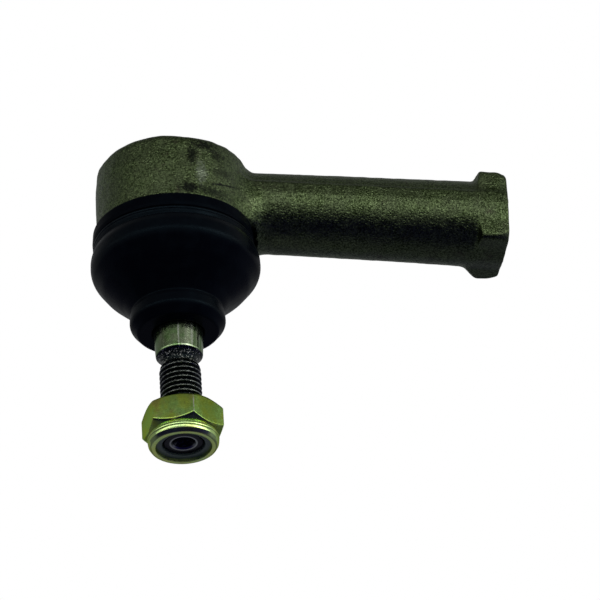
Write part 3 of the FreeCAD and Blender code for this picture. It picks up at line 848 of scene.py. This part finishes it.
def yellow_zinc():
    """Passivated zinc that drifts between yellow, green and brown, with painted shade at the top
    and on the right face, and painted highlights on the collar and one upright edge.
    """
    paint = Paint("yellow_zinc")
    tone = paint.ramp(paint.noise(3.5, 3.0, 0.5), 0.35, 0.65)
    colour = paint.mix(tone, (0.68, 0.86, 0.13), (0.52, 0.90, 0.26))
    blush = paint.ramp(paint.noise(2.6, 2.0), 0.55, 0.72)
    colour = paint.stain(colour, blush, (0.66, 0.42, 0.20), 0.5)
    # Painted shade: the hexagon darker towards its top.
    shade = paint.ramp(paint.height(), -57.3, -61.6, 0.28, 0.0)
    colour = paint.stain(colour, shade, (0.10, 0.13, 0.02))
    fleck = paint.ramp(paint.noise(0.35, 3.0, 0.6), 0.40, 0.60)
    colour = paint.stain(colour, fleck, (0.34, 0.50, 0.08), 0.35)
    smear = paint.ramp(paint.noise(1.1, 3.0, 0.6), 0.60, 0.74)
    colour = paint.stain(colour, smear, (0.22, 0.18, 0.06), 0.5)
    # The collar painted whiter as a painted highlight.
    collar = paint.ramp(paint.height(), -64.0, -64.4)
    colour = paint.stain(colour, collar, (0.92, 0.94, 0.60), 0.3)
    # The right face painted darker as painted shade.
    painted_face_shade = paint.patch(-52, -60.5, 4.6, 4.2, stud_radius=8.5)
    colour = paint.stain(colour, painted_face_shade, (0.22, 0.30, 0.03), 0.5)
    # A thin white line down one corner, a painted highlight.
    painted_edge_highlight = paint.patch(-82, -59.8, 0.14, 2.8, stud_radius=9.85)
    colour = paint.stain(colour, painted_edge_highlight, (1.0, 1.0, 0.85))
    paint.bump(paint.noise(0.4, 3.0), 0.02, 0.4)
    roughness = paint.ramp(paint.noise(1.2, 3.0), 0.3, 0.7, 0.10, 0.20)
    return paint.finish(colour, roughness, 1.0, Specular_Tint=(0.78, 0.90, 0.42))


def insert_nylon():
    """Greenish moulded nylon with a slightly mottled surface."""
    paint = Paint("insert_nylon")
    colour = paint.mix(paint.noise(1.0, 3.0), (0.13, 0.20, 0.14), (0.23, 0.33, 0.23))
    paint.bump(paint.noise(0.3, 3.0), 0.01, 0.5)
    return paint.finish(colour, paint.ramp(paint.noise(0.6), 0.3, 0.7, 0.3, 0.45))


def plain_steel(name, light, dark, low, high):
    """Steel that drifts between two tones, with a roughness from low to high."""
    paint = Paint(name)
    colour = paint.mix(paint.noise(1.6, 4.0), dark, light)
    paint.bump(paint.noise(0.35, 3.0), 0.02, 0.5)
    return paint.finish(colour, paint.ramp(paint.noise(0.9, 3.0), 0.3, 0.7, low, high), 1.0)


def seat_plastic():
    """Off-white moulded acetal."""
    paint = Paint("seat_plastic")
    colour = paint.mix(paint.noise(2.0, 3.0), (0.72, 0.70, 0.62), (0.82, 0.81, 0.76))
    paint.bump(paint.noise(0.4), 0.01, 0.4)
    return paint.finish(colour, paint.ramp(paint.noise(1.0), 0.3, 0.7, 0.35, 0.5))


def dress(piece, material):
    """Gives the whole piece one material."""
    piece.data.materials.clear()
    piece.data.materials.append(material)
    for polygon in piece.data.polygons:
        polygon.material_index = 0


# ------------------------------------------------------------------ the pieces

rubber = boot_rubber()
cap_steel = plain_steel("cap_steel", (0.55, 0.56, 0.52), (0.36, 0.37, 0.34), 0.3, 0.45)
spring_steel = plain_steel("spring_steel", (0.30, 0.33, 0.38), (0.16, 0.18, 0.22), 0.25, 0.4)
ring_steel = plain_steel("ring_steel", (0.5, 0.5, 0.5), (0.35, 0.35, 0.36), 0.25, 0.4)
thread_steel = plain_steel("thread_steel", (0.36, 0.38, 0.33), (0.2, 0.21, 0.19), 0.3, 0.5)

boot_upper, boot_lower = boot_pieces()
for piece, material, slot in (
    (housing_piece(), forged_steel(), "forged_steel"),
    (bore_thread_piece(), thread_steel, "forged_steel"),
    (end_cap_piece(), cap_steel, "cap_steel"),
    (boot_upper, rubber, "boot_rubber"),
    (boot_lower, rubber, "boot_rubber"),
    (stud_piece(), ground_steel(), "ground_steel"),
    (nut_piece(), yellow_zinc(), "yellow_zinc"),
    (insert_piece(), insert_nylon(), "insert_nylon"),
):
    dress(piece, material)
inside = {
    "preload_spring": spring_steel,
    "upper_seat": seat_plastic(),
    "lower_seat": seat_plastic(),
    "boot_ring_upper": ring_steel,
    "boot_ring_lower": ring_steel,
}
for node, material in inside.items():
    for slot in frame["nodes"][node].material_slots:
        slot.material = material

# ------------------------------------------------------------------ light, floor, camera

CAMERA_AZIMUTH = math.radians(-9.1)
CAMERA_ELEVATION = math.radians(-31.9)      # it looks up at the part
CAMERA_ROLL = math.radians(2.03)
CAMERA_DISTANCE = 1.202
FOCAL_LENGTH = 300.0

# Brightness of the surroundings by height angle in the upright plane through the
# camera: 0 is level towards the camera, 90 overhead, 180 level behind the object.
SURROUNDINGS = [
    (-180, (0.088, 0.087, 0.126)), (-130, (0.085, 0.083, 0.115)), (-108, (0.051, 0.049, 0.075)),
    (-80, (0.010, 0.008, 0.045)), (-45, (0.0055, 0.0045, 0.034)), (-21, (0.013, 0.012, 0.036)),
    (-9, (0.31, 0.31, 0.31)), (20, (0.31, 0.31, 0.31)), (33, (0.168, 0.168, 0.158)),
    (60, (0.126, 0.126, 0.122)), (82, (0.115, 0.120, 0.115)), (125, (0.210, 0.214, 0.218)),
    (180, (0.210, 0.214, 0.218)),
]

STRIP_LIGHT = 6.3           # how much brighter than its surroundings the low strip is
STRIP_EDGES = (0.17, 0.20, 0.27, 0.30)      # the strip's heights, as sines
SIDE_LIGHT = 1.25           # and how much the soft box at the right adds
RIGHT_BOX = (math.sin(CAMERA_AZIMUTH + math.radians(80)),
             -math.cos(CAMERA_AZIMUTH + math.radians(80)), 0.0)


def studio_world():
    """White behind the object, and soft studio surroundings for everything else: a wide
    low strip of light in front, a soft box at the right, a dimmer ceiling and little
    from below."""
    world = bpy.data.worlds.new("studio")
    world.use_nodes = True
    graph = Graph(world.node_tree)
    nodes, links = graph.nodes, graph.links
    nodes.clear()
    place = nodes.new("ShaderNodeTexCoord").outputs["Generated"]
    forward = (math.sin(CAMERA_AZIMUTH), -math.cos(CAMERA_AZIMUTH), 0)
    front = graph.vector("DOT_PRODUCT", place, forward)
    height = graph.vector("DOT_PRODUCT", place, (0, 0, 1))
    angle = graph.sums("ARCTAN2", height, front)
    share = graph.sums("ADD", graph.sums("DIVIDE", angle, 2 * math.pi), 0.5)
    ramp = nodes.new("ShaderNodeValToRGB")
    links.new(share, ramp.inputs["Fac"])
    stops = ramp.color_ramp.elements
    while len(stops) < len(SURROUNDINGS):
        stops.new(0.5)
    for stop, (degrees, colour) in zip(stops, SURROUNDINGS):
        stop.position = (degrees + 180) / 360
        stop.color = (*colour, 1)
    low, low_full, high_full, high = STRIP_EDGES
    strip = graph.times(graph.ramp(height, low, low_full), graph.ramp(height, high, high_full))
    strip = graph.times(strip, graph.ramp(front, -0.1, 0.1))
    rightness = graph.ramp(graph.vector("DOT_PRODUCT", place, RIGHT_BOX), 0.55, 0.95)
    strength = graph.times(
        graph.sums("MULTIPLY_ADD", strip, STRIP_LIGHT, 1.0),
        graph.sums("MULTIPLY_ADD", rightness, SIDE_LIGHT, 1.0),
    )
    around = nodes.new("ShaderNodeBackground")
    links.new(ramp.outputs["Color"], around.inputs["Color"])
    links.new(strength, around.inputs["Strength"])
    seen = nodes.new("ShaderNodeBackground")
    seen.inputs["Color"].default_value = (1, 1, 1, 1)
    mix = nodes.new("ShaderNodeMixShader")
    links.new(nodes.new("ShaderNodeLightPath").outputs["Is Camera Ray"], mix.inputs["Fac"])
    links.new(around.outputs["Background"], mix.inputs[1])
    links.new(seen.outputs["Background"], mix.inputs[2])
    links.new(mix.outputs["Shader"], nodes.new("ShaderNodeOutputWorld").inputs["Surface"])
    bpy.context.scene.world = world


def floor():
    """A plain pale floor well below the part. It lights nothing, so that the dim
    surroundings below keep their tone in the metal."""
    mesh = bpy.data.meshes.new("floor")
    half_metres, height_metres = 6.0, -1.1
    sides = ((-1, -1), (1, -1), (1, 1), (-1, 1))
    corners = [(x * half_metres, y * half_metres, height_metres) for x, y in sides]
    mesh.from_pydata(corners, [], [(0, 1, 2, 3)])
    plane = bpy.data.objects.new("floor", mesh)
    bpy.context.scene.collection.objects.link(plane)
    for ray in ("diffuse", "glossy", "transmission", "shadow", "volume_scatter"):
        setattr(plane, f"visible_{ray}", False)
    paint = Paint("floor_paint")
    tone = paint.mix(paint.noise(300.0, 2.0), (0.86, 0.86, 0.85), (0.90, 0.90, 0.89))
    glow = {"Emission_Color": tone, "Emission_Strength": 1.0}
    plane.data.materials.append(paint.finish((0.02, 0.02, 0.02), 0.9, **glow))


def card(name, place, towards, size, brightness):
    """A small glowing card that lights one part of the object and isn't seen itself."""
    light = bpy.data.lights.new(name, "AREA")
    light.shape, light.size = "SQUARE", size
    light.energy = brightness * math.pi * size * size
    lamp = bpy.data.objects.new(name, light)
    lamp.location = place
    lamp.rotation_mode = "QUATERNION"
    lamp.rotation_quaternion = (Vector(towards) - Vector(place)).to_track_quat("-Z", "Y")
    lamp.visible_camera = False
    bpy.context.scene.collection.objects.link(lamp)


def camera():
    """A long lens that looks up at the part from a little to the left."""
    level = math.cos(CAMERA_ELEVATION)
    back = Vector((math.sin(CAMERA_AZIMUTH) * level, -math.cos(CAMERA_AZIMUTH) * level,
                   math.sin(CAMERA_ELEVATION)))
    turn = (-back).to_track_quat("-Z", "Y")
    middle, offset = Vector((HEAD_X + 30.0, 0, -15.0)), Vector((0.27, -7.79, 0))
    aim = (middle + turn @ offset) * MM
    lens = bpy.data.cameras.new("camera")
    lens.sensor_width, lens.lens = 36.0, FOCAL_LENGTH
    lens.clip_start, lens.clip_end = 0.05, 20.0
    eye = bpy.data.objects.new("camera", lens)
    eye.location = aim + back * CAMERA_DISTANCE
    eye.rotation_mode = "QUATERNION"
    eye.rotation_quaternion = turn @ Quaternion((0, 0, 1), -CAMERA_ROLL)
    bpy.context.scene.collection.objects.link(eye)
    bpy.context.scene.camera = eye


studio_world()
NUT_PLACE = (HEAD_X * MM, 0.0, -0.066)
CARD_PLACE = (HEAD_X * MM, 0.040, -0.118)
card("nut_card", CARD_PLACE, NUT_PLACE, size=0.065, brightness=0.12)
floor()
camera()
bpy.context.scene.view_settings.view_transform = "Standard"
